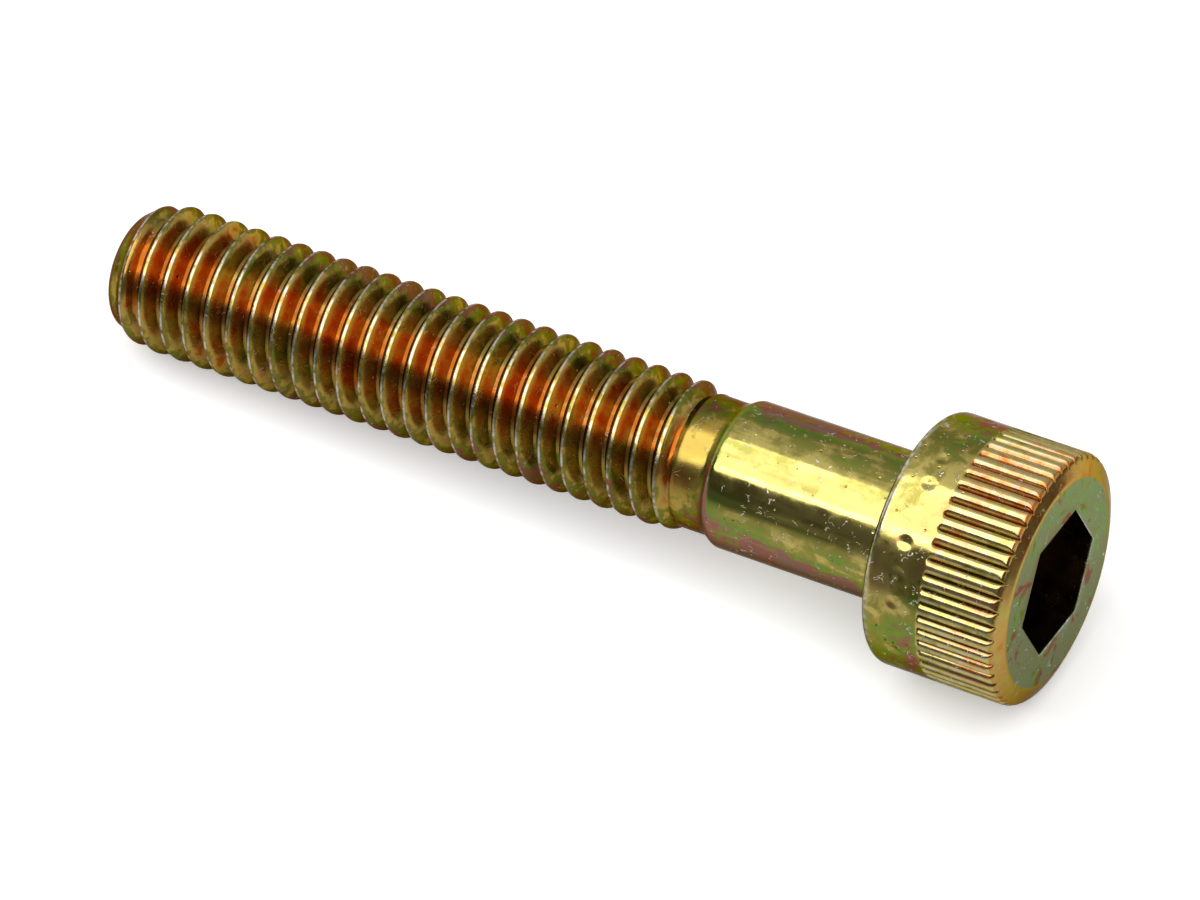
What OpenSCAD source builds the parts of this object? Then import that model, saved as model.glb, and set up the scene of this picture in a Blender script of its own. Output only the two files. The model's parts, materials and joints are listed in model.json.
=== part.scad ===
// Hex socket cap screw with a knurled head and a partly threaded stem.
// It is forged and rolled in one piece, so it is one solid, and it lies on a flat
// surface as it comes to rest, on the rim of its head and the thread by its tip.
// Lengths are in millimetres.

/* [Head] */
// Diameter of the head
head_d = 10; // [9:0.1:12]
// Height of the head
head_h = 5.8; // [5:0.1:8]
// Length of the smooth band by the bearing face
band_l = 2.4; // [1.6:0.1:3.4]
// Width of the bevel round the socket face, measured along the radius
bevel_w = 0.75; // [0.3:0.05:0.9]
// Height of the bevel, measured along the axis
bevel_h = 0.3; // [0.15:0.05:0.6]
// Rounding of the edge round the bearing face
rim_r = 0.4; // [0.2:0.05:0.6]

/* [Knurl] */
// Number of ridges round the head
knurl_n = 52; // [36:2:60]
// Depth of the grooves between the ridges
knurl_depth = 0.22; // [0.1:0.01:0.3]
// Turn of the ridges about the axis, in degrees
knurl_turn = 6.3; // [0:0.1:10]

/* [Socket] */
// Width of the hexagon across its flats
socket_w = 5; // [4:0.1:5.6]
// Depth of the hexagon's straight walls
socket_depth = 3.2; // [2:0.1:3.6]
// Turn of the hexagon about the axis
socket_turn = 27; // [0:1:60]

/* [Stem] */
// Diameter of the plain shank, and over the thread crests
shank_d = 5.9; // [5:0.1:6.6]
// Length of the plain shank
shank_l = 7.6; // [5:0.1:8]
// Length of the stem from the bearing face to the tip
stem_l = 35; // [28:0.5:42]
// Radius of the fillet between the shank and the head
fillet_r = 0.3; // [0.2:0.05:0.5]

/* [Thread] */
// Pitch of the right-hand thread
pitch = 1; // [0.8:0.05:1.25]
// Length along the axis over which the tip is rounded off and the thread grows
tip_l = 2; // [1.5:0.1:3.5]
// Diameter of the flat end of the tip
tip_d = 3.4; // [2.6:0.1:4.4]
// Turn of the thread about the axis, in degrees
thread_turn = 90; // [0:5:355]

/* [Hidden] */
$fn = 96;
// How far a cut runs past the face that it opens
past = 1;

// Radii on the stem
shank_r = shank_d / 2;
tip_r = tip_d / 2;
// The thread is rolled on a waist of about its pitch diameter
waist_r = shank_r - 0.3 * pitch;
// Depth of the thread, from crest to root
thread_depth = 0.58 * pitch;
root_r = shank_r - thread_depth;
// Lengths along the stem: the shoulder down to the waist, and where the thread has run out
shoulder_l = 0.7;
waist_l = 0.9;
thread_end = shank_l + shoulder_l + waist_l;
// Length over which the thread fades into the waist
fade_l = 1.3 * pitch;
// The thread's end face lies inside the waist's round edge, and the waist's core reaches into it
seat_gap = 0.01;
core_r = 0.8 * root_r;
core_l = 1;

// Flats of the thread's profile, as a share of the pitch
crest_share = 0.15;
root_share = 0.18;
flank_share = (1 - crest_share - root_share) / 2;
// One pitch of the profile: where each edge lies, as a share of the pitch, and its radius
thread_profile = [
    [0, shank_r],
    [crest_share, shank_r],
    [crest_share + flank_share, root_r],
    [crest_share + flank_share + root_share, root_r]
];
// Edges in one turn, points round the axis, and turns with one to spare at each end
edges = len(thread_profile);
sides = 24;
// Facets that a fine mesh draws the head's rim with
rim_sides = 71;
// The thread and the rim are turned by half a facet, so that the screw lies on flats of both
side_turn = 180 / sides;
seam_turn = 180 / rim_sides;
turns = ceil((stem_l - thread_end) / pitch) + 2;
lines = edges * turns;

// Width of a groove of the knurl at the head's surface and at its floor
ridge_pitch = PI * head_d / knurl_n;
groove_w = 0.4 * ridge_pitch;
groove_floor_w = 0.14 * ridge_pitch;

// Angle between the axis and the surface that the screw lies on
head_r = head_d / 2;
rest = atan((head_r - shank_r) / (stem_l - tip_l + rim_r));
// Height of the bearing face's centre over that surface
rest_h = (head_r - rim_r) * cos(rest) + rim_r - rim_r * sin(rest);
// Place of the bearing face's centre along the surface, with the screw's box centred
reach_head = head_h * cos(rest) + (head_r - bevel_w) * sin(rest);
reach_tip = stem_l * cos(rest) + tip_r * sin(rest);
rest_x = (reach_tip - reach_head) / 2;

// Lays what is built along Z, with the bearing face at the origin, on the surface
module lie_down() {
    translate([rest_x, 0, rest_h])
        rotate([0, 90 - rest, 0])
            children();
}

// Half section of the head: the bearing rim is rounded and the socket face bevelled
module head_section() {
    difference() {
        polygon([
            [0, 0],
            [head_r, 0],
            [head_r, head_h - bevel_h],
            [head_r - bevel_w, head_h],
            [0, head_h]
        ]);
        difference() {
            translate([head_r - rim_r, -past])
                square([rim_r + past, rim_r + past]);
            translate([head_r - rim_r, rim_r])
                circle(rim_r);
        }
    }
}

// Half section of the plain stem: fillet, shank, rounded shoulder and waist
module stem_section() {
    steps = 8;
    shoulder = [
        for (i = [0:steps])
            [
                waist_r + (shank_r - waist_r) * (1 + cos(180 * i / steps)) / 2,
                -shank_l - shoulder_l * i / steps
            ]
    ];
    core = [
        [waist_r, -thread_end],
        [core_r, -thread_end],
        [core_r, -thread_end - core_l],
        [0, -thread_end - core_l]
    ];
    polygon(concat([[0, past], [shank_r, past]], shoulder, core));
    difference() {
        translate([shank_r - past, -fillet_r])
            square([past + fillet_r, fillet_r + past]);
        translate([shank_r + fillet_r, -fillet_r])
            circle(fillet_r);
    }
}

// The knurl's grooves, from the smooth band to the socket face
module knurl_cut() {
    floor_x = head_r - knurl_depth;
    mouth_x = head_r + past;
    spread = (groove_w - groove_floor_w) / knurl_depth;
    mouth_w = groove_floor_w + spread * (knurl_depth + past);
    for (i = [0:knurl_n - 1])
        rotate([0, 0, knurl_turn + 360 * (i + 0.5) / knurl_n])
            translate([0, 0, band_l])
                linear_extrude(head_h - band_l + past)
                    polygon([
                        [floor_x, -groove_floor_w / 2],
                        [mouth_x, -mouth_w / 2],
                        [mouth_x, mouth_w / 2],
                        [floor_x, groove_floor_w / 2]
                    ]);
}

// The hexagon, and the shallow dish with a flat middle that its punch leaves at the bottom
module socket_cut() {
    dish_r = 0.48 * socket_w;
    dish_flat_r = 0.12 * socket_w;
    dish_h = (dish_r - dish_flat_r) * tan(15);
    rotate([0, 0, socket_turn])
        translate([0, 0, head_h - socket_depth])
            cylinder(h = socket_depth + past, r = socket_w / 2 / cos(30), $fn = 6);
    translate([0, 0, head_h - socket_depth - dish_h])
        cylinder(h = dish_h, r1 = dish_flat_r, r2 = dish_r);
}

// Height of a thread edge on a side, held between the tip and the thread's end
function edge_z(side, line) =
    let (
        turn = floor(line / edges) - 2 + side / sides + (side_turn + thread_turn) / 360,
        z = -stem_l + pitch * (turn + thread_profile[line % edges][0])
    )
    max(-stem_l, min(-thread_end, z));

// Radius of a thread edge at a height: it grows over the rounded tip, and fades into the waist
function edge_r(z, profile_r) =
    let (
        from_tip = min(1, (z + stem_l) / tip_l),
        round_r = tip_r + (shank_r - tip_r) * sqrt(1 - pow(1 - from_tip, 2)),
        grown_r = round_r - (shank_r - profile_r) * from_tip,
        fade = min(1, (-thread_end - z) / fade_l),
        end_r = waist_r - seat_gap
    )
    end_r + (grown_r - end_r) * fade;

// Number of the point on a side's line. Points at either end of the thread are one
function point_at(side, line) =
    let (
        s = side % sides,
        l = line + (side < sides ? 0 : edges),
        z = edge_z(side, line)
    )
    z <= -stem_l ? s * lines : z >= -thread_end ? s * lines + lines - 1 : s * lines + l;

// The threaded stem: helical edges joined side by side, closed by two flat ends
module thread() {
    points = [
        for (side = [0:sides - 1])
            for (line = [0:lines - 1])
                let (
                    a = side_turn + 360 * side / sides,
                    z = edge_z(side, line),
                    r = edge_r(z, thread_profile[line % edges][1])
                )
                [r * cos(a), r * sin(a), z]
    ];
    skin = [
        for (side = [0:sides - 1])
            for (line = [0:lines - 2])
                let (
                    a = point_at(side, line),
                    b = point_at(side + 1, line),
                    c = point_at(side + 1, line + 1),
                    d = point_at(side, line + 1)
                )
                each concat(b != c ? [[a, c, b]] : [], a != d ? [[a, d, c]] : [])
    ];
    tip = [[for (side = [0:sides - 1]) side * lines]];
    end = [[for (side = [sides - 1:-1:0]) side * lines + lines - 1]];
    polyhedron(points, concat(skin, tip, end), convexity = 10);
}

module socket_cap_screw() {
    color("darkkhaki")
        lie_down()
            union() {
                difference() {
                    rotate([0, 0, seam_turn])
                        rotate_extrude() {
                            head_section();
                            stem_section();
                        }
                    knurl_cut();
                    socket_cut();
                }
                thread();
            }
}

socket_cap_screw();
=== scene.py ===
"""Looks of a hex socket cap screw: its fine thread, knurled head, yellow zinc plating and stage."""

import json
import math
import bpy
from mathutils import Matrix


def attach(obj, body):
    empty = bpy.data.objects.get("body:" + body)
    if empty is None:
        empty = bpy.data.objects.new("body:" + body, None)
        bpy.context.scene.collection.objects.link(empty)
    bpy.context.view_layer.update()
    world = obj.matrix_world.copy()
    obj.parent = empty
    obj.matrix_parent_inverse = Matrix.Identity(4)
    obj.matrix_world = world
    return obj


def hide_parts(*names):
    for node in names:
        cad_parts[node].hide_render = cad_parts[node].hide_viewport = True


bl_info = {
    "name": "Hex socket cap screw",
    "version": (1, 0, 0),
    "blender": (4, 5, 0),
    "location": "View3D > Sidebar > Cap screw",
    "description": "Dresses a plain cap screw with a fine thread, a knurled head and zinc plating",
    "category": "Object",
}

from typing import NamedTuple

import bpy
import numpy as np
from bpy.props import FloatProperty, FloatVectorProperty, IntProperty, PointerProperty
from mathutils import Matrix, Vector

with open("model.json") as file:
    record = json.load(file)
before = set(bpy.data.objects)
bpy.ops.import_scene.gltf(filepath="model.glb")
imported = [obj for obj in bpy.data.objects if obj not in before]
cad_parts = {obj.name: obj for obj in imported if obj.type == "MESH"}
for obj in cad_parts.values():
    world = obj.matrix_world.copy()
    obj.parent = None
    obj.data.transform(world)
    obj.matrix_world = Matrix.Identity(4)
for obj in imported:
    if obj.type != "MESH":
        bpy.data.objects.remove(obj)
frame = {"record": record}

MM = 0.001
NODE = "socket_cap_screw"
MOUNTS = {mount["name"]: mount for mount in frame["record"]["mounts"]}
SHANK_R_MM = MOUNTS["shank"]["dims"]["r_mm"]
BEARING = Vector(MOUNTS["bearing_face"]["pos_m"])
SOCKET_MOUTH = Vector(MOUNTS["hex_socket"]["pos_m"])
AXIS = Vector(MOUNTS["hex_socket"]["axis"]).normalized()


# Sizes, colours and views that a user would change


def length(name, description, millimetres):
    return FloatProperty(
        name=name, description=description, default=millimetres * MM, unit="LENGTH"
    )


def turn(name, description, degrees):
    return FloatProperty(
        name=name, description=description, default=math.radians(degrees), subtype="ANGLE"
    )


def colour(name, description, default):
    return FloatVectorProperty(
        name=name, description=description, subtype="COLOR", size=3, min=0, max=1, default=default
    )


class ScrewSizes(bpy.types.PropertyGroup):
    """Sizes of the screw"""

    head_d: length("Head diameter", "Over the ridges", 10)
    band_l: length("Smooth band", "From the bearing face to the ridges", 2.4)
    bevel_w: length("Bevel width", "Along the radius", 0.75)
    bevel_h: length("Bevel height", "Along the axis", 0.3)
    rim_r: length("Rim rounding", "Round the bearing face", 0.4)
    ridges: IntProperty(name="Ridges", description="Number round the head", default=52)
    ridge_turn: turn("Turn of the ridges", "About the axis", 6.3)
    groove_depth: length("Groove depth", "Between two ridges", 0.22)
    dots: IntProperty(name="Dots", description="Number round the smooth band", default=26)
    dot_d: length("Dot diameter", "On the smooth band", 0.62)
    dot_depth: length("Dot depth", "On the smooth band", 0.05)
    socket_w: length("Socket width", "Across its flats", 5)
    socket_depth: length("Socket depth", "Of its straight walls", 3.2)
    socket_turn: IntProperty(
        name="Turn of the socket",
        description="From the first ridge, in columns of the head's mesh",
        default=36,
    )
    shank_d: length("Shank diameter", "Also over the thread", 2 * SHANK_R_MM)
    shank_l: length("Shank length", "Plain part", 7.6)
    shoulder_l: length("Shoulder length", "From the shank down to the waist", 0.7)
    waist_l: length("Waist length", "Between the shoulder and the thread", 0.9)
    stem_l: length("Stem length", "From the bearing face to the tip", 35)
    fillet_r: length("Fillet", "Between shank and head", 0.3)
    pitch: length("Pitch", "Of the thread", 1)
    thread_turn: turn("Turn of the thread", "About the axis", 90)
    tip_l: length("Tip rounding", "Along the axis", 2)
    tip_d: length("Tip diameter", "Of the flat end", 3.4)


class PlatingColours(bpy.types.PropertyGroup):
    """Colours of the chromate film and of what lies over it"""

    grey_pink: colour("Grey pink", "Film seen at a grazing angle", (0.26, 0.18, 0.14))
    pink: colour("Pink", "Film seen at a low angle", (0.34, 0.13, 0.115))
    green: colour("Green", "Film seen at a slant", (0.19, 0.31, 0.055))
    olive: colour("Olive", "Film seen at a slight slant", (0.33, 0.29, 0.070))
    yellow: colour("Yellow", "Film seen face on", (0.60, 0.51, 0.16))
    gold: colour("Gold", "Thicker film seen face on", (0.66, 0.40, 0.15))
    orange: colour("Orange", "Thick film in the thread", (0.58, 0.17, 0.018))
    bare: colour("Bare metal", "Scratches and worn edges", (0.80, 0.77, 0.76))
    # Colour of the pits, and of the painted shade in grooves, in the thread and in the socket
    dirt_and_shade: colour("Dirt", "Pits and the bottoms of grooves", (0.030, 0.022, 0.010))
    sage: colour("Sage", "Film on the socket face", (0.26, 0.40, 0.22))
    amber: colour("Amber", "Laid over the film, most of all in the thread", (1.0, 0.80, 0.42))
    edge: colour("Edge tint", "Reflection at a grazing angle", (0.45, 0.36, 0.30))


class StageSettings(bpy.types.PropertyGroup):
    """Place of the camera, and size of the floor"""

    azimuth: turn("Azimuth", "Of the camera, round the screw", 29.56)
    elevation: turn("Elevation", "Of the camera, above the floor", 44.2)
    distance: length("Distance", "From camera to socket face", 322.5)
    right: length("Right", "Socket face in the view", 17.14)
    below: length("Below", "Socket face in the view", 4.97)
    lens: FloatProperty(name="Lens", description="Focal length in millimetres", default=258.5)
    floor_w: length("Floor", "Width of the floor", 6000)


# Mesh of the screw, in its own frame: z runs from the bearing face towards the socket


COLUMNS_PER_RIDGE = 12
HEAD_PER_STEM_COLUMN = 6
LINES_PER_PITCH = 14
# The thread's rows start two turns below the tip and go on past its end. Rows past either end
# fall together in its plane, and their faces are left out
TURNS_BELOW_TIP = 2
SPARE_TURNS = 3
# Numbers of the finishes, in the order of FINISHES
SMOOTH, BAND, KNURL, BEVEL, FACE, THREAD, SOCKET = range(7)
# Edges that turn by more than this are drawn sharp
SHARP_EDGE = math.radians(40)

# The higher this power, the broader a ridge of the knurl and the narrower the groove beside it
GROOVE_POWER = 2.8
# Lengths over which the grooves and the wear of the ridges begin
GROOVE_START = 0.12 * MM
WEAR_START = 0.2 * MM
# How far the straight rows of the ridges keep from the band and from the bevel
RIDGE_INSET = 0.3 * MM
# How far the bevel's finish reaches down the ridges
BEVEL_OVERLAP = 0.05 * MM
BEVEL_ROUNDING = 0.35 * MM
FACE_ROUNDING = 0.5 * MM
SOCKET_ROUNDING = 0.04 * MM
DISH_SLOPE = math.radians(15)
# Width of the ring between the fillet and the head's first row
RING_W = 0.1 * MM

# Depths under the shank, and places and widths within one pitch, as shares of the pitch
THREAD_DEPTH = 0.58
WAIST_DEPTH = 0.3
CREST_MIDDLE = 0.075
CREST_HALF = 0.06
FLANK = 0.35
# How far the flank bends from a straight line towards a soft step
FLANK_BEND = 0.25
WORN_HALF = 0.03
# Share of the rounded tip over which the thread grows to its full depth
GROWN_BY = 0.95

# How much of the film is worn off at the rim, the ridges, the socket's edge and the crests
RIM_WEAR = 0.7
RIDGE_WEAR = 0.22
SOCKET_WEAR = 0.7
CREST_WEAR = 0.85


class Skin:
    """Points, faces and masks that are gathered into one mesh."""

    def __init__(self):
        self.points, self.faces, self.finishes, self.worn, self.hollow = [], [], [], [], []
        self.count = 0

    def add_grid(self, points, worn=0.0, hollow=0.0):
        """Adds a grid of points, rows by columns, and returns their numbers."""
        rows, columns = points.shape[:2]
        self.points.append(points.reshape(-1, 3))
        for masks, mask in ((self.worn, worn), (self.hollow, hollow)):
            masks.append(np.broadcast_to(mask, (rows, columns)).reshape(-1))
        numbers = self.count + np.arange(rows * columns).reshape(rows, columns)
        self.count += rows * columns
        return numbers

    def add_quads(self, lower, upper, finish):
        """Joins two rows of the same length that run once round the axis."""
        quads = np.stack([lower, np.roll(lower, -1), np.roll(upper, -1), upper], axis=1)
        self.add_faces(quads, finish)

    def add_faces(self, faces, finish):
        self.faces.extend(faces.tolist())
        self.finishes.extend([finish] * len(faces))

    def mesh(self, name, placing):
        """One mesh, with points that coincide made one and faces without an area left out."""
        points = np.concatenate(self.points)
        _, first, same = np.unique(
            np.round(points, 9), axis=0, return_index=True, return_inverse=True
        )
        same = same.reshape(-1)
        faces, finishes = [], []
        for face, finish in zip(self.faces, self.finishes):
            corners = list(dict.fromkeys(same[face].tolist()))
            if len(corners) > 2:
                faces.append(corners)
                finishes.append(finish)
        mesh = bpy.data.meshes.new(name)
        mesh.from_pydata(points[first].tolist(), [], faces)
        mesh.polygons.foreach_set("material_index", finishes)
        for mask_name, masks in (("worn", self.worn), ("hollow", self.hollow)):
            mask = mesh.attributes.new(mask_name, "FLOAT", "POINT")
            mask.data.foreach_set("value", np.concatenate(masks)[first].astype(np.float32))
        mesh.polygons.foreach_set("use_smooth", [True] * len(faces))
        mesh.transform(placing)
        mesh.set_sharp_from_angle(angle=SHARP_EDGE)
        mesh.update()
        return mesh


def smooth_step(low, high, x):
    t = np.clip((x - low) / (high - low), 0, 1)
    return t * t * (3 - 2 * t)


def round_axis(columns, sizes):
    """Angles of the mesh's columns, the first on a ridge of the knurl."""
    return sizes.ridge_turn + np.arange(columns) * 2 * math.pi / columns


def around(angles, radii, heights):
    """Points at angles round the axis. Radii and heights are rows by columns, or spread to it."""
    radii, heights = np.broadcast_arrays(radii, heights)
    radii, heights = np.broadcast_arrays(radii, heights + 0 * angles)
    return np.stack([radii * np.cos(angles), radii * np.sin(angles), heights], axis=-1)


def arc(centre, radius, start, end, steps):
    """Points (radius, height) on an arc of a section, from one angle to another in degrees."""
    turns = np.radians(np.linspace(start, end, steps + 1))
    return [(centre[0] + radius * math.cos(t), centre[1] + radius * math.sin(t)) for t in turns]


def rounded(before, corner, after, radius, steps):
    """Points on the rounding of a section's corner."""
    corner = np.array(corner)
    into = np.array(before) - corner
    out = np.array(after) - corner
    into, out = into / np.linalg.norm(into), out / np.linalg.norm(out)
    half = math.acos(float(into @ out)) / 2
    middle = (into + out) / np.linalg.norm(into + out)
    centre = corner + middle * radius / math.sin(half)
    start, end = corner + into * radius / math.tan(half), corner + out * radius / math.tan(half)
    first, last = start - centre, end - centre
    sweep = math.pi - 2 * half
    points = []
    for share in np.linspace(0, 1, steps + 1):
        spoke = first * math.sin(sweep * (1 - share)) + last * math.sin(sweep * share)
        points.append(tuple(centre + spoke / math.sin(sweep)))
    return points


def head_section(sizes, head_h):
    """Half section of the head, as rows of radius and height, from the bearing to the socket face."""
    head_r = sizes.head_d / 2
    bearing_in_r = sizes.shank_d / 2 + sizes.fillet_r + RING_W
    bevel_z, bevel_r = head_h - sizes.bevel_h, head_r - sizes.bevel_w
    rim = arc((head_r - sizes.rim_r, sizes.rim_r), sizes.rim_r, -90, 0, 7)
    band = [(head_r, z) for z in np.linspace(sizes.rim_r, sizes.band_l, 27)[1:]]
    start = [(head_r, sizes.band_l + rise * MM) for rise in (0.03, 0.06, 0.1, 0.15)]
    ridge_zs = np.linspace(sizes.band_l + RIDGE_INSET, bevel_z - RIDGE_INSET, 5)
    ridges = [(head_r, z) for z in ridge_zs]
    outer = rounded((head_r, 0), (head_r, bevel_z), (bevel_r, head_h), BEVEL_ROUNDING, 6)
    inner = rounded((head_r, bevel_z), (bevel_r, head_h), (0, head_h), FACE_ROUNDING, 4)
    slope = [tuple(point) for point in np.linspace(outer[-1], inner[0], 5)[1:-1]]
    bearing = [(bearing_in_r, 0), (head_r - 2 * sizes.rim_r, 0)]
    return np.array(bearing + rim + band + start + ridges + outer + slope + inner)


def dot_depths(sizes, angles, heights):
    """How deep the ring of plain dots reaches into the smooth band."""
    dots = sizes.dots * (angles - sizes.ridge_turn) / (2 * math.pi)
    across = math.pi * sizes.head_d / sizes.dots * (dots - np.round(dots))
    along = heights - (sizes.rim_r + sizes.band_l) / 2
    in_dot = np.clip(1 - (across**2 + along**2) / (sizes.dot_d / 2) ** 2, 0, 1)
    return sizes.dot_depth * in_dot**1.5


def head_finish(sizes, bevel_z, z):
    """The finish of the faces that begin at a height on the outside of the head."""
    if z < sizes.band_l:
        return BAND
    if z < bevel_z - BEVEL_OVERLAP:
        return KNURL
    return BEVEL


def add_head(skin, sizes, head_h):
    """The head from its bearing face to the bottom of its socket. Returns its first row."""
    columns = sizes.ridges * COLUMNS_PER_RIDGE
    angles = round_axis(columns, sizes)
    phase = np.arange(columns) / COLUMNS_PER_RIDGE % 1
    from_ridge = 2 * np.abs(phase - np.round(phase))
    groove = from_ridge**GROOVE_POWER
    head_r, bevel_z = sizes.head_d / 2, head_h - sizes.bevel_h
    section = head_section(sizes, head_h)
    section_r, section_z = section[:, :1], section[:, 1:]

    cut = smooth_step(sizes.band_l, sizes.band_l + GROOVE_START, section_z) * groove
    radii = np.minimum(section_r, head_r - sizes.groove_depth * cut)
    radii = radii - dot_depths(sizes, angles, section_z)
    hollow = cut * (section_r > head_r - sizes.groove_depth)
    on_rim = np.exp(-(((section_z - 0.5 * sizes.rim_r) / (0.3 * sizes.rim_r)) ** 2))
    past_band = smooth_step(sizes.band_l, sizes.band_l + WEAR_START, section_z)
    before_bevel = smooth_step(bevel_z, bevel_z - WEAR_START, section_z)
    worn = RIM_WEAR * on_rim + RIDGE_WEAR * (1 - groove) * past_band * before_bevel

    rows = skin.add_grid(around(angles, radii, section_z), worn, hollow)
    for z, lower, upper in zip(section[:, 1], rows, rows[1:]):
        skin.add_quads(lower, upper, head_finish(sizes, bevel_z, z))
    add_socket(skin, sizes, head_h, angles, rows[-1], radii[-1])
    return rows[0]


def add_socket(skin, sizes, head_h, angles, last_row, last_r):
    """The face inside the bevel, the hexagon's edge and walls, and the dish at its bottom."""
    flat = sizes.socket_w / 2
    corner = angles[sizes.socket_turn]
    to_flat = np.cos((angles - corner) % math.radians(60) - math.radians(30))
    mouth = (flat + SOCKET_ROUNDING) / to_flat
    face = last_r + (mouth - last_r) * np.array([[0.35], [0.7], [1.0]])
    turns = np.radians([[25], [50], [75], [90]])
    edge = (flat + SOCKET_ROUNDING * (1 - np.sin(turns))) / to_flat
    edge_z = head_h - SOCKET_ROUNDING * (1 - np.cos(turns))
    floor_z = head_h - sizes.socket_depth
    wall_z = np.linspace(head_h - 3 * SOCKET_ROUNDING, floor_z, 5)[:, None]
    dish_r, dish_flat_r = 0.48 * sizes.socket_w, 0.12 * sizes.socket_w
    dish_z = floor_z - (dish_r - dish_flat_r) * math.tan(DISH_SLOPE)
    dish = np.array([[dish_r], [(dish_r + dish_flat_r) / 2], [dish_flat_r], [0]])
    dish_zs = np.array([[floor_z], [(floor_z + dish_z) / 2], [dish_z], [dish_z]])
    parts = (
        (face, head_h, FACE, 0.0),
        (edge, edge_z, FACE, SOCKET_WEAR),
        (flat / to_flat, wall_z, SOCKET, 0.0),
        (dish, dish_zs, SOCKET, 0.0),
    )
    below = last_row
    for radii, heights, finish, worn in parts:
        for row in skin.add_grid(around(angles, radii, heights), worn):
            skin.add_quads(below, row, finish)
            below = row


def waist_radius(sizes):
    return sizes.shank_d / 2 - WAIST_DEPTH * sizes.pitch


def thread_end(sizes):
    """Height at which the thread has faded into the waist."""
    return -(sizes.shank_l + sizes.shoulder_l + sizes.waist_l)


def thread_radius(sizes, z, share):
    """Radius of the thread at a height, where share is the place within one pitch, from 0 to 1.

    It comes with the masks of hollows and of crests.
    """
    shank_r, tip_r, waist_r = sizes.shank_d / 2, sizes.tip_d / 2, waist_radius(sizes)
    from_crest = np.abs((share - CREST_MIDDLE + 0.5) % 1 - 0.5)
    fall = np.clip((from_crest - CREST_HALF) / FLANK, 0, 1)
    fall = fall + FLANK_BEND * (smooth_step(0, 1, fall) - fall)
    from_tip = np.clip((z + sizes.stem_l) / sizes.tip_l, 0, 1)
    round_r = tip_r + (shank_r - tip_r) * np.sqrt(1 - (1 - from_tip) ** 2)
    grown = fall * smooth_step(0, GROWN_BY, from_tip)
    fade = smooth_step(0, sizes.pitch, thread_end(sizes) - z)
    radius = waist_r + (round_r - THREAD_DEPTH * sizes.pitch * grown - waist_r) * fade
    return radius, fall * from_tip * fade, from_crest < WORN_HALF


def add_thread(skin, sizes, angles):
    """The thread, as rows that climb round the axis, and the flat end of its tip."""
    end = thread_end(sizes)
    turns = math.ceil((sizes.stem_l + end) / sizes.pitch) + SPARE_TURNS
    share = np.arange(turns * LINES_PER_PITCH)[:, None] / LINES_PER_PITCH
    turned = (angles + sizes.thread_turn) / (2 * math.pi)
    heights = sizes.pitch * (share - TURNS_BELOW_TIP + turned)
    heights = np.clip(heights - sizes.stem_l, -sizes.stem_l, end)
    radii, hollow, on_crest = thread_radius(sizes, heights, share % 1)
    worn = CREST_WEAR * on_crest * smooth_step(0, 1 * MM, end - heights)
    rows = skin.add_grid(around(angles, radii, heights), worn, hollow)

    # After the last column a row goes on as the first column of the row one pitch up
    ahead = np.roll(rows, -1, axis=1)
    ahead[:-LINES_PER_PITCH, -1] = rows[LINES_PER_PITCH:, 0]
    ahead[-LINES_PER_PITCH:, -1] = rows[-1, 0]
    faces = np.stack([rows[:-1], ahead[:-1], ahead[1:], rows[1:]], axis=-1)
    skin.add_faces(faces.reshape(-1, 4), THREAD)

    tip = np.linspace(0, radii[0, 0], 4)[:-1, None]
    discs = skin.add_grid(around(angles, tip, -sizes.stem_l))
    for lower, upper in zip(discs, [*discs[1:], rows[0]]):
        skin.add_quads(lower, upper, SMOOTH)


def add_plain_stem(skin, sizes, angles):
    """The waist, the rounded shoulder, the shank and the fillet. Returns the last row."""
    shank_r, waist_r, end = sizes.shank_d / 2, waist_radius(sizes), thread_end(sizes)
    waist_z = np.linspace(end, end + sizes.waist_l, 5)[:-1, None]
    rise = np.linspace(0, 1, 13)[:, None]
    shoulder_r = waist_r + (shank_r - waist_r) * (1 - np.cos(math.pi * rise)) / 2
    shoulder_z = -sizes.shank_l - sizes.shoulder_l * (1 - rise)
    shank_z = np.linspace(-sizes.shank_l, -sizes.fillet_r, 9)[1:-1, None]
    fillet = np.array(arc((shank_r + sizes.fillet_r, -sizes.fillet_r), sizes.fillet_r, 180, 90, 6))
    waist_rs, shank_rs = np.full_like(waist_z, waist_r), np.full_like(shank_z, shank_r)
    radii = np.concatenate([waist_rs, shoulder_r, shank_rs, fillet[:, :1]])
    heights = np.concatenate([waist_z, shoulder_z, shank_z, fillet[:, 1:]])
    rows = skin.add_grid(around(angles, radii, heights))

    # The waist is plated like the thread, up to somewhat under half of the shoulder
    waist_top = -sizes.shank_l - 0.45 * sizes.shoulder_l
    for z, lower, upper in zip(heights[:, 0], rows, rows[1:]):
        skin.add_quads(lower, upper, THREAD if z < waist_top else SMOOTH)
    return rows[-1]


def join_stem(skin, stem_row, head_row):
    """The ring between the stem's last row and the head's first row, which has more columns."""
    for column, point in enumerate(stem_row):
        next_point = stem_row[(column + 1) % len(stem_row)]
        place = column * HEAD_PER_STEM_COLUMN
        steps = range(place, place + HEAD_PER_STEM_COLUMN + 1)
        edge = [head_row[step % len(head_row)] for step in steps]
        fan = [[point, after, before] for before, after in zip(edge, edge[1:])]
        fan.append([point, next_point, edge[-1]])
        skin.add_faces(np.array(fan), SMOOTH)


def add_stem(skin, sizes, head_row):
    """The stem from the tip to the head, and the ring that joins it to the bearing face."""
    angles = round_axis(len(head_row) // HEAD_PER_STEM_COLUMN, sizes)
    add_thread(skin, sizes, angles)
    stem_row = add_plain_stem(skin, sizes, angles)
    join_stem(skin, stem_row, head_row)


# Shader nodes


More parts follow.
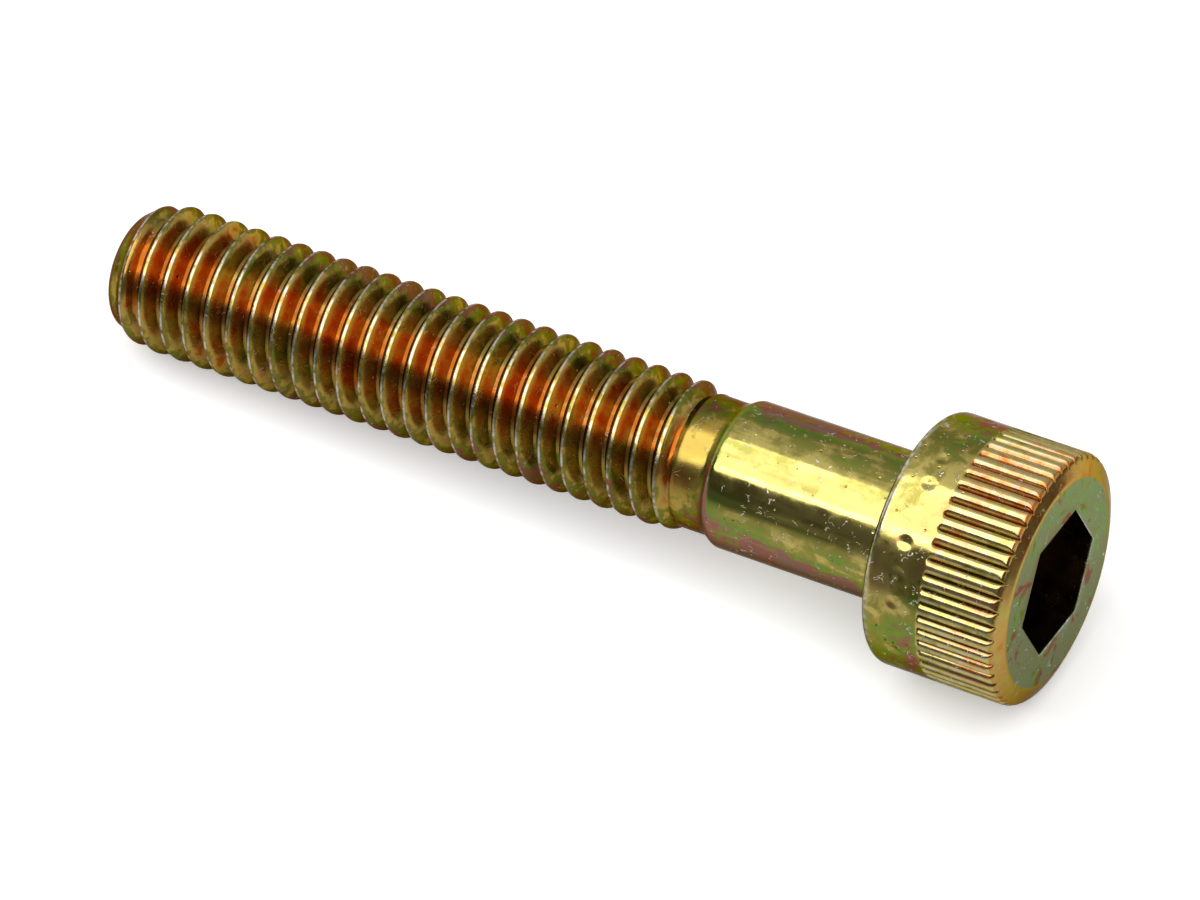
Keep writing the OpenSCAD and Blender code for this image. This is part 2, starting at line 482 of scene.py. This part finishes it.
def new_node(tree, kind, values=None, **settings):
    """A node with its settings. A value is a number, a colour or a socket to be joined."""
    node = tree.nodes.new(kind)
    for name, value in settings.items():
        setattr(node, name, value)
    for name, value in (values or {}).items():
        if isinstance(value, bpy.types.NodeSocket):
            tree.links.new(value, node.inputs[name])
        else:
            node.inputs[name].default_value = value
    return node


def maths(tree, operation, first, second=0.0, third=0.0, clamp=False):
    values = {0: first, 1: second, 2: third}
    node = new_node(tree, "ShaderNodeMath", values, operation=operation, use_clamp=clamp)
    return node.outputs[0]


def product(tree, first, *others):
    for other in others:
        first = maths(tree, "MULTIPLY", first, other)
    return first


def vector_maths(tree, operation, first, second=(0, 0, 0)):
    node = new_node(tree, "ShaderNodeVectorMath", {0: first, 1: second}, operation=operation)
    return node.outputs


def mixed(tree, share, first, second, blend="MIX"):
    values = {0: share, 6: first, 7: second}
    node = new_node(tree, "ShaderNodeMix", values, data_type="RGBA", blend_type=blend)
    return node.outputs[2]


def spread(tree, value, low, high, to_low=0.0, to_high=1.0):
    """Spreads a value from one range to another, softly and within its ends."""
    values = {"Value": value, "From Min": low, "From Max": high, "To Min": to_low, "To Max": to_high}
    node = new_node(tree, "ShaderNodeMapRange", values, interpolation_type="SMOOTHSTEP")
    return node.outputs[0]


def new_group(name, inputs, outputs):
    """A shader node group. Inputs are numbers with their defaults, outputs have their kinds."""
    group = bpy.data.node_groups.new(name, "ShaderNodeTree")
    for label, default in inputs.items():
        socket = group.interface.new_socket(
            label, in_out="INPUT", socket_type="NodeSocketFloat"
        )
        socket.default_value = default
    for label, kind in outputs.items():
        group.interface.new_socket(label, in_out="OUTPUT", socket_type=kind)
    return group, group.nodes.new("NodeGroupInput").outputs, group.nodes.new("NodeGroupOutput")


def in_millimetres(tree, stretch=(1, 1, 1)):
    """The place on the screw, in millimetres of its own frame."""
    place = new_node(tree, "ShaderNodeTexCoord").outputs["Object"]
    return vector_maths(tree, "MULTIPLY", place, tuple(s / MM for s in stretch))[0]


def noise(tree, place, scale, detail=2.0, rough=0.5, distortion=0.0, shift=0.0):
    """Noise from 0 to 1. Each use has a shift of its own, so that no two look alike."""
    values = {
        "Vector": vector_maths(tree, "ADD", place, (shift, shift, shift))[0],
        "Scale": scale,
        "Detail": detail,
        "Roughness": rough,
        "Distortion": distortion,
    }
    return new_node(tree, "ShaderNodeTexNoise", values).outputs["Fac"]


def centred(tree, value):
    return maths(tree, "SUBTRACT", value, 0.5)


def film_group(colours):
    """Colour of the chromate film, from its thickness in patches and how slanting it is seen."""
    group, given, out = new_group(
        "chromate_film",
        {"Facing": 0.0, "Film": 0.6, "Patches": 0.15, "Streaks": 0.0, "Slide": 0.6, "Calm": 0.0},
        {"Color": "NodeSocketColor"},
    )
    place = in_millimetres(group)
    broad = centred(group, noise(group, place, scale=0.33))
    small = centred(
        group, noise(group, place, scale=1.6, detail=3.0, rough=0.6, distortion=0.6, shift=7.0)
    )
    lengthwise = in_millimetres(group, (0.12, 1, 1))
    streak = centred(group, noise(group, lengthwise, scale=1.9, rough=0.6, shift=31.0))

    # A calm film varies less where it is seen face on, and more where it is seen at a slant
    slanting = maths(group, "MULTIPLY_ADD", given["Facing"], 1.8, -0.75)
    vary = maths(group, "MULTIPLY_ADD", slanting, given["Calm"], 1.0)
    patches = product(group, maths(group, "MULTIPLY_ADD", small, 0.8, broad), vary)
    film = maths(group, "MULTIPLY_ADD", patches, given["Patches"], given["Film"])
    streak = product(group, streak, vary)
    film = maths(group, "MULTIPLY_ADD", streak, given["Streaks"], film)
    slid = product(group, given["Facing"], given["Slide"])
    film = maths(group, "SUBTRACT", film, slid, clamp=True)
    ramp = new_node(group, "ShaderNodeValToRGB", {"Fac": film})
    stops = (
        (0.10, colours.grey_pink),
        (0.26, colours.pink),
        (0.40, colours.green),
        (0.54, colours.olive),
        (0.65, colours.yellow),
        (0.72, colours.yellow),
        (0.84, colours.gold),
        (1.0, colours.orange),
    )
    elements = ramp.color_ramp.elements
    for stop, (place_on_ramp, tint) in enumerate(stops):
        element = elements[stop] if stop < 2 else elements.new(place_on_ramp)
        element.position = place_on_ramp
        element.color = (*tint, 1)
    group.links.new(ramp.outputs["Color"], out.inputs["Color"])
    return group


def cells(tree, place, scale):
    """Strewn cells: the distance to the middle of each, and three numbers drawn for it."""
    node = new_node(tree, "ShaderNodeTexVoronoi", {"Vector": place, "Scale": scale})
    drawn = new_node(tree, "ShaderNodeSeparateColor", {"Color": node.outputs["Color"]})
    return node.outputs["Distance"], drawn.outputs


def dents_and_pits(tree, place, amount):
    """Small round dents, and a dark pit in some of them."""
    distance, drawn = cells(tree, place, scale=3.0)
    size = maths(tree, "MULTIPLY_ADD", drawn[0], 0.16, 0.06)
    bowl = maths(tree, "DIVIDE", distance, size)
    bowl = maths(tree, "SUBTRACT", 1.0, product(tree, bowl, bowl), clamp=True)
    few = maths(tree, "LESS_THAN", drawn[1], product(tree, amount, 0.35))
    dents = product(tree, bowl, few)
    deepest = maths(tree, "GREATER_THAN", dents, 0.75)
    dark = maths(tree, "GREATER_THAN", drawn[2], 0.7)
    return dents, product(tree, deepest, dark)


def hair_scratches(tree, place, amount):
    """Thin lines where a noise crosses its middle value, broken up by another noise."""
    line_noise = noise(tree, place, scale=2.4, distortion=0.4, shift=3.0)
    off_line = maths(tree, "ABSOLUTE", centred(tree, line_noise))
    line = spread(tree, off_line, 0.012, 0.005)
    broken = spread(tree, noise(tree, place, scale=2.2, shift=11.0), 0.59, 0.61)
    return product(tree, line, broken, amount)


def bright_specks(tree, place, amount):
    """Tiny specks of bare metal that crowd together in places."""
    distance, drawn = cells(tree, place, scale=7.0)
    size = maths(tree, "MULTIPLY_ADD", drawn[1], 0.16, 0.10)
    speck = maths(tree, "LESS_THAN", distance, size)
    few = maths(tree, "GREATER_THAN", drawn[0], 0.94)
    crowd = spread(tree, noise(tree, place, scale=0.8, shift=5.0), 0.44, 0.54)
    return product(tree, speck, few, crowd, amount)


def marks_group():
    """Tiny pits, bright nicks and hair scratches in the plating."""
    group, given, out = new_group(
        "fine_marks",
        {"Amount": 1.0},
        {"Pits": "NodeSocketFloat", "Nicks": "NodeSocketFloat", "Height": "NodeSocketFloat"},
    )
    place, amount = in_millimetres(group), given["Amount"]
    dents, pits = dents_and_pits(group, place, amount)
    hairs = hair_scratches(group, place, amount)
    nicks = maths(group, "MAXIMUM", hairs, bright_specks(group, place, amount))
    height = maths(group, "SUBTRACT", product(group, nicks, 0.3), dents)
    for name, socket in (("Pits", pits), ("Nicks", nicks), ("Height", height)):
        group.links.new(socket, out.inputs[name])
    return group


def attribute(tree, name):
    return new_node(tree, "ShaderNodeAttribute", attribute_name=name).outputs["Fac"]


# Plating


class Finish(NamedTuple):
    """How the plating looks on one kind of surface.

    film: thickness of the chromate film. deep: how much thicker it is in hollows.
    slide: how far its colour slides as it is seen at a slant. patches, streaks: how much it varies.
    calm: how much less it varies face on. rough: roughness. marks: amount of pits and scratches.
    Then the darkening in hollows, which is painted shade, and the darkening all over, which in the
    socket is painted shade. sage, amber: share of these tints.
    """

    name: str
    film: float
    slide: float
    patches: float
    rough: float
    marks: float
    streaks: float = 0.0
    calm: float = 0.0
    deep: float = 0.0
    # Painted shade: darkening in hollows, and darkening all over, which in the socket is painted
    # shade
    dirt_and_shade: float = 0.0
    dull_and_shade: float = 0.0
    sage: float = 0.0
    amber: float = 0.0


FINISHES = (
    Finish(
        "plated_smooth",
        film=0.71, slide=0.74, patches=0.75, rough=0.07, marks=0.8, streaks=0.80, calm=1.0, amber=0.1,
    ),
    Finish("plated_band", film=0.77, slide=0.60, patches=0.85, rough=0.11, marks=1.0, amber=0.2),
    Finish(
        "plated_knurl",
        film=0.78, slide=0.30, patches=0.60, rough=0.17, marks=0.4, streaks=0.60, deep=0.06,
        dirt_and_shade=0.62, amber=0.1,
    ),
    Finish(
        "plated_bevel",
        film=0.90, slide=0.30, patches=0.50, rough=0.08, marks=0.5, streaks=0.30, dirt_and_shade=0.5,
        dull_and_shade=0.20, amber=0.5,
    ),
    Finish("plated_face", film=0.66, slide=0.62, patches=0.90, rough=0.20, marks=0.7, sage=0.72),
    Finish(
        "plated_thread",
        film=0.76, slide=0.95, patches=1.40, rough=0.21, marks=0.3, streaks=0.10, calm=0.7,
        deep=0.30, dirt_and_shade=0.20, dull_and_shade=0.30, amber=0.80,
    ),
    # The socket is darkened all over: painted shade in the hexagon's recess
    Finish(
        "plated_socket",
        film=0.90, slide=0.40, patches=0.25, rough=0.16, marks=0.15, dull_and_shade=0.72, amber=0.3,
    ),
)


def film_colour(tree, finish, hollow, film_nodes):
    """Colour of the film, which is thicker in hollows and changes as it is seen at a slant."""
    facing = new_node(tree, "ShaderNodeLayerWeight", {"Blend": 0.5}).outputs["Facing"]
    deep = maths(tree, "MULTIPLY", hollow, 2.5, clamp=True)
    values = {
        "Facing": facing,
        "Film": maths(tree, "MULTIPLY_ADD", deep, finish.deep, finish.film),
        "Patches": finish.patches,
        "Streaks": finish.streaks,
        "Slide": finish.slide,
        "Calm": finish.calm,
    }
    return new_node(tree, "ShaderNodeGroup", values, node_tree=film_nodes).outputs["Color"]


def plated_colour(tree, finish, colours, film, fine):
    """The film's colour with its tints, painted shade, worn edges, nicks and pits laid over it."""
    place, hollow, worn = in_millimetres(tree), attribute(tree, "hollow"), attribute(tree, "worn")
    cloud = noise(tree, place, scale=0.9, detail=3.0, rough=0.6, distortion=0.5, shift=51.0)
    clear = spread(tree, cloud, 0.36, 0.44, 0.0, finish.sage)
    # Painted shade: darker in grooves and hollows, and darker all over by the finish's share, which
    # in the socket is painted shade
    dirt_and_shade = maths(tree, "MULTIPLY_ADD", hollow, finish.dirt_and_shade, finish.dull_and_shade, clamp=True)
    rubbed = spread(tree, noise(tree, place, scale=3.0, rough=0.6, shift=41.0), 0.35, 0.65)
    base = mixed(tree, finish.amber, film, (*colours.amber, 1), "MULTIPLY")
    base = mixed(tree, clear, base, (*colours.sage, 1))
    base = mixed(tree, dirt_and_shade, base, (*colours.dirt_and_shade, 1))
    base = mixed(tree, product(tree, worn, rubbed), base, (*colours.bare, 1))
    base = mixed(tree, fine["Nicks"], base, (*colours.bare, 1))
    return mixed(tree, fine["Pits"], base, (*colours.dirt_and_shade, 1))


def plated_roughness(tree, finish, fine):
    uneven = noise(tree, in_millimetres(tree), scale=1.2, detail=3.0, rough=0.6, shift=17.0)
    uneven = spread(tree, uneven, 0.3, 0.7, finish.rough, finish.rough + 0.1)
    return maths(tree, "MULTIPLY_ADD", fine["Nicks"], 0.3, uneven)


def plated_normal(tree, fine):
    """The bumps of the fine marks and the slight waves of the metal under the plating."""
    waves = noise(tree, in_millimetres(tree), scale=0.9, detail=5.0, rough=0.55, shift=23.0)
    height = maths(tree, "MULTIPLY_ADD", fine["Height"], 4.0, waves)
    values = {"Height": height, "Strength": 1.0, "Distance": 0.007 * MM}
    return new_node(tree, "ShaderNodeBump", values).outputs["Normal"]


def plated(finish, colours, film_nodes, marks_nodes):
    """Zinc plated steel under a chromate film."""
    material = bpy.data.materials.new(finish.name)
    material.use_nodes = True
    tree = material.node_tree
    shader = tree.nodes["Principled BSDF"]
    fine = new_node(tree, "ShaderNodeGroup", {"Amount": finish.marks}, node_tree=marks_nodes).outputs
    film = film_colour(tree, finish, attribute(tree, "hollow"), film_nodes)
    tree.links.new(plated_colour(tree, finish, colours, film, fine), shader.inputs["Base Color"])
    tree.links.new(plated_roughness(tree, finish, fine), shader.inputs["Roughness"])
    tree.links.new(plated_normal(tree, fine), shader.inputs["Normal"])
    shader.inputs["Metallic"].default_value = 1.0
    shader.inputs["Specular Tint"].default_value = (*colours.edge, 1)
    return material


class BuildScrew(bpy.types.Operator):
    """Builds the screw's fine mesh in place of the plain one and plates it"""

    bl_idname = "cap_screw.build_screw"
    bl_label = "Build the screw"

    def execute(self, context):
        sizes, colours = context.scene.screw_sizes, context.scene.plating_colours
        head_h = (SOCKET_MOUTH - BEARING).length
        skin = Skin()
        head_row = add_head(skin, sizes, head_h)
        add_stem(skin, sizes, head_row)
        side = Vector((0, 1, 0))
        turned = Matrix((side.cross(AXIS), side, AXIS)).transposed()
        placing = Matrix.Translation(BEARING) @ turned.to_4x4()
        screw = bpy.data.objects.new("cap_screw", skin.mesh("cap_screw", placing))
        context.scene.collection.objects.link(screw)
        film_nodes, marks_nodes = film_group(colours), marks_group()
        for finish in FINISHES:
            screw.data.materials.append(plated(finish, colours, film_nodes, marks_nodes))
        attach(screw, "root")
        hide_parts(NODE)
        return {"FINISHED"}


# Stage


class Softbox(NamedTuple):
    """A soft rectangle of light that runs along the screw.

    angle: its height over the horizon on the camera's side, in degrees. Lengths are in metres.
    """

    name: str
    angle: float
    distance: float
    width: float
    length: float
    along: float
    radiance: float


SOFTBOXES = (
    Softbox(
        "overhead_softbox",
        angle=66, distance=0.42, width=0.44, length=1.0, along=-0.12, radiance=2.2,
    ),
    Softbox(
        "front_softbox",
        angle=43, distance=0.41, width=0.05, length=1.0, along=-0.12, radiance=2.5,
    ),
)


def add_softbox(scene, softbox):
    lamp = bpy.data.lights.new(softbox.name, "AREA")
    lamp.shape = "RECTANGLE"
    lamp.size, lamp.size_y = softbox.length, softbox.width
    lamp.energy = softbox.radiance * math.pi * softbox.length * softbox.width
    box = bpy.data.objects.new(softbox.name, lamp)
    scene.collection.objects.link(box)
    angle = math.radians(softbox.angle)
    along, back = Vector((1, 0, 0)), Vector((0, -math.cos(angle), math.sin(angle)))
    place = along * softbox.along + back * softbox.distance
    turned = Matrix((along, back.cross(along), back)).transposed()
    box.matrix_world = Matrix.Translation(place) @ turned.to_4x4()


def build_world(scene):
    """White to the camera, and to the metal a dark studio with a white sweep behind the screw."""
    world = bpy.data.worlds.new("studio")
    scene.world = world
    world.use_nodes = True
    tree = world.node_tree
    background = tree.nodes["Background"]
    direction = new_node(tree, "ShaderNodeTexCoord").outputs["Generated"]
    axes = new_node(tree, "ShaderNodeSeparateXYZ", {"Vector": direction}).outputs

    # A strip low over the horizon is lighter, and reaches higher behind the screw
    brink = spread(tree, axes["Y"], -0.1, 0.25, -0.2, 0.15)
    over_brink = spread(tree, axes["Z"], brink, maths(tree, "ADD", brink, 0.35))
    low = maths(tree, "SUBTRACT", 1.0, over_brink)

    # The sweep is dark in front, brightest just past overhead, and fades towards the back
    rise = spread(tree, axes["Y"], -0.25, 0.02, 0.10, 0.80)
    fall = spread(tree, axes["Y"], 0.10, 0.95, 0.0, 0.45)
    glow = maths(tree, "SUBTRACT", rise, fall)
    level = maths(tree, "MULTIPLY_ADD", low, 0.35, glow)

    seen = new_node(tree, "ShaderNodeLightPath").outputs["Is Camera Ray"]
    tree.links.new(maths(tree, "MAXIMUM", level, seen), background.inputs["Strength"])
    background.inputs["Color"].default_value = (1, 1, 1, 1)


def floor_material():
    """White to the camera. To the metal and to bounced light it is white only behind the screw, and
    dark in front of it and right of the head, a painted shade.
    """
    material = bpy.data.materials.new("white_floor")
    material.use_nodes = True
    tree = material.node_tree
    shader = tree.nodes["Principled BSDF"]
    place = new_node(tree, "ShaderNodeNewGeometry").outputs["Position"]
    across = new_node(tree, "ShaderNodeSeparateXYZ", {"Vector": place}).outputs

    # Far from the screw, where the lamps don't reach, the floor is filled up to white
    reach = vector_maths(tree, "LENGTH", place)["Value"]
    fill = spread(tree, reach, 0.2, 0.7, 0.30, 1.0)

    # To all but camera rays the floor is white from under the screw backwards, up to beside the head,
    # and painted dark beyond, a painted shade for the dimmer floor there
    behind = spread(tree, across["Y"], -0.050, 0.020)
    unshaded_floor = product(tree, behind, spread(tree, across["X"], 0.050, 0.030))

    rays = new_node(tree, "ShaderNodeLightPath").outputs
    shown = maths(tree, "MAXIMUM", rays["Is Camera Ray"], unshaded_floor)
    # Base colour 0.8 where the floor is unshaded, and 0.12 elsewhere for all but camera rays, a
    # painted shade
    white = mixed(tree, shown, (0.12, 0.12, 0.12, 1), (0.8, 0.8, 0.8, 1))
    mirrored = product(tree, rays["Is Glossy Ray"], unshaded_floor, 0.4)
    glow = product(tree, maths(tree, "MAXIMUM", rays["Is Camera Ray"], mirrored), fill)

    tree.links.new(white, shader.inputs["Base Color"])
    tree.links.new(glow, shader.inputs["Emission Strength"])
    shader.inputs["Emission Color"].default_value = (1, 1, 1, 1)
    shader.inputs["Roughness"].default_value = 1.0
    shader.inputs["Specular IOR Level"].default_value = 0.0
    return material


def add_floor(scene, width):
    half = width / 2
    corners = [(-half, -half, 0), (half, -half, 0), (half, half, 0), (-half, half, 0)]
    mesh = bpy.data.meshes.new("floor")
    mesh.from_pydata(corners, [], [(0, 1, 2, 3)])
    mesh.materials.append(floor_material())
    floor = bpy.data.objects.new("floor", mesh)
    scene.collection.objects.link(floor)


def add_camera(scene, settings):
    """A camera that sees the middle of the socket's mouth at a set place in its view."""
    azimuth, elevation = settings.azimuth, settings.elevation
    right = Vector((math.cos(azimuth), math.sin(azimuth), 0))
    level_back = Vector((math.sin(azimuth), -math.cos(azimuth), 0))
    back = level_back * math.cos(elevation) + Vector((0, 0, math.sin(elevation)))
    up = back.cross(right)
    data = bpy.data.cameras.new("camera")
    data.lens, data.sensor_width = settings.lens, 36
    data.clip_start, data.clip_end = 0.01, 20
    camera = bpy.data.objects.new("camera", data)
    scene.collection.objects.link(camera)
    place = SOCKET_MOUTH - right * settings.right + up * settings.below
    place += back * settings.distance
    turned = Matrix((right, up, back)).transposed()
    camera.matrix_world = Matrix.Translation(place) @ turned.to_4x4()
    scene.camera = camera


class BuildStage(bpy.types.Operator):
    """Lays the floor and sets the lights, the world and the camera"""

    bl_idname = "cap_screw.build_stage"
    bl_label = "Build the stage"

    def execute(self, context):
        scene, settings = context.scene, context.scene.stage_settings
        add_floor(scene, settings.floor_w)
        for softbox in SOFTBOXES:
            add_softbox(scene, softbox)
        build_world(scene)
        add_camera(scene, settings)
        scene.view_settings.view_transform = "Standard"
        return {"FINISHED"}


# Add-on


class CapScrewPanel(bpy.types.Panel):
    """Lists the settings, and the steps that build the screw and its stage"""

    bl_idname = "VIEW3D_PT_cap_screw"
    bl_label = "Cap screw"
    bl_space_type = "VIEW_3D"
    bl_region_type = "UI"
    bl_category = "Cap screw"

    def draw(self, context):
        for group in SETTINGS:
            column = self.layout.column(align=True)
            settings = getattr(context.scene, group)
            for name in settings.__annotations__:
                column.prop(settings, name)
        for operator in (BuildScrew, BuildStage):
            self.layout.operator(operator.bl_idname)


CLASSES = (ScrewSizes, PlatingColours, StageSettings, BuildScrew, BuildStage, CapScrewPanel)
SETTINGS = {
    "screw_sizes": ScrewSizes,
    "plating_colours": PlatingColours,
    "stage_settings": StageSettings,
}


def register():
    for cls in CLASSES:
        bpy.utils.register_class(cls)
    for name, cls in SETTINGS.items():
        setattr(bpy.types.Scene, name, PointerProperty(type=cls))


def unregister():
    for name in SETTINGS:
        delattr(bpy.types.Scene, name)
    for cls in reversed(CLASSES):
        bpy.utils.unregister_class(cls)


def main():
    register()
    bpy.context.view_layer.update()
    bpy.ops.cap_screw.build_screw()
    bpy.ops.cap_screw.build_stage()


if __name__ == "__main__":
    main()
